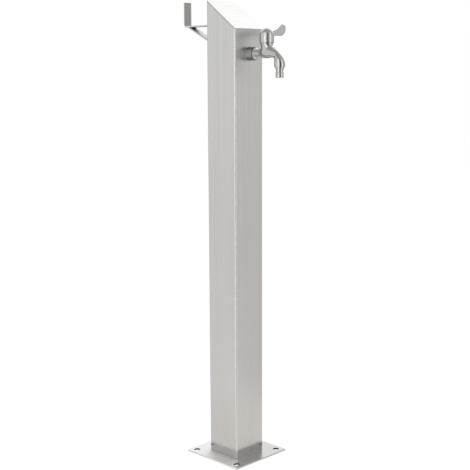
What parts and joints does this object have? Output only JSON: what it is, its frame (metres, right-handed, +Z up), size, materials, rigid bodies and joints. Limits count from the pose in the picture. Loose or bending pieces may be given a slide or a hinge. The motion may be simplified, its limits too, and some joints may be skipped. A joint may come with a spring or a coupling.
{
  "type": "garden standpipe",
  "caption": "Square brushed steel garden standpipe on a base plate, with a slanted cap, a quarter-turn lever tap with a hose nozzle, and a braced hose hanger on the back.",
  "frame": {"origin": "centre of the base plate's underside, which is also the centre of the anchor holes", "axes": "+Z up the column; the tap is on the -Y side, the hose hanger on the +Y side, and the shut tap's lever points to +X"},
  "size_m": [0.15, 0.2746, 0.951],
  "materials": {
    "column_steel": "vertical brushed stainless",
    "socket_steel": "turned stainless",
    "tap_steel": "polished cast stainless",
    "handle_steel": "polished cast stainless",
    "nozzle_steel": "polished turned stainless",
    "plain_steel": "plain steel",
    "brass": "plain brass",
    "ceramic": "lapped ceramic",
    "seal_rubber": "matte",
    "plastic": "moulded"
  },
  "bodies": {
    "standpipe": {"base_plate": "column_steel", "column_tube": "column_steel", "top_cap": "column_steel", "tap_socket": "socket_steel", "hanger_hook": "column_steel", "hanger_brace": "column_steel", "inlet_washer": "seal_rubber", "elbow_washer": "seal_rubber", "tap_body": "tap_steel", "hose_nozzle": "nozzle_steel", "nozzle_washer": "seal_rubber", "flow_screen": "plastic", "cartridge_gasket": "seal_rubber", "cartridge_housing": "brass", "seat_seal": "seal_rubber", "fixed_disc": "ceramic", "riser_elbow": "brass", "supply_adapter": "brass", "riser_tube": "plain_steel", "upper_olive": "brass", "upper_nut": "brass", "lower_olive": "brass", "lower_nut": "brass", "riser_guide": "plastic"},
    "tap_handle": {"handle": "handle_steel", "handle_grub_screw": "plain_steel", "spindle": "brass", "spindle_o_rings": "seal_rubber", "spindle_circlip": "plain_steel", "moving_disc": "ceramic"}
  },
  "joints": [
    {"name": "tap_handle_turn", "type": "hinge", "parent": "standpipe", "child": "tap_handle", "pos_m": [0, -0.0885, 0.8625], "axis": [0, 0, -1], "range_deg": [0, 90]}
  ]
}
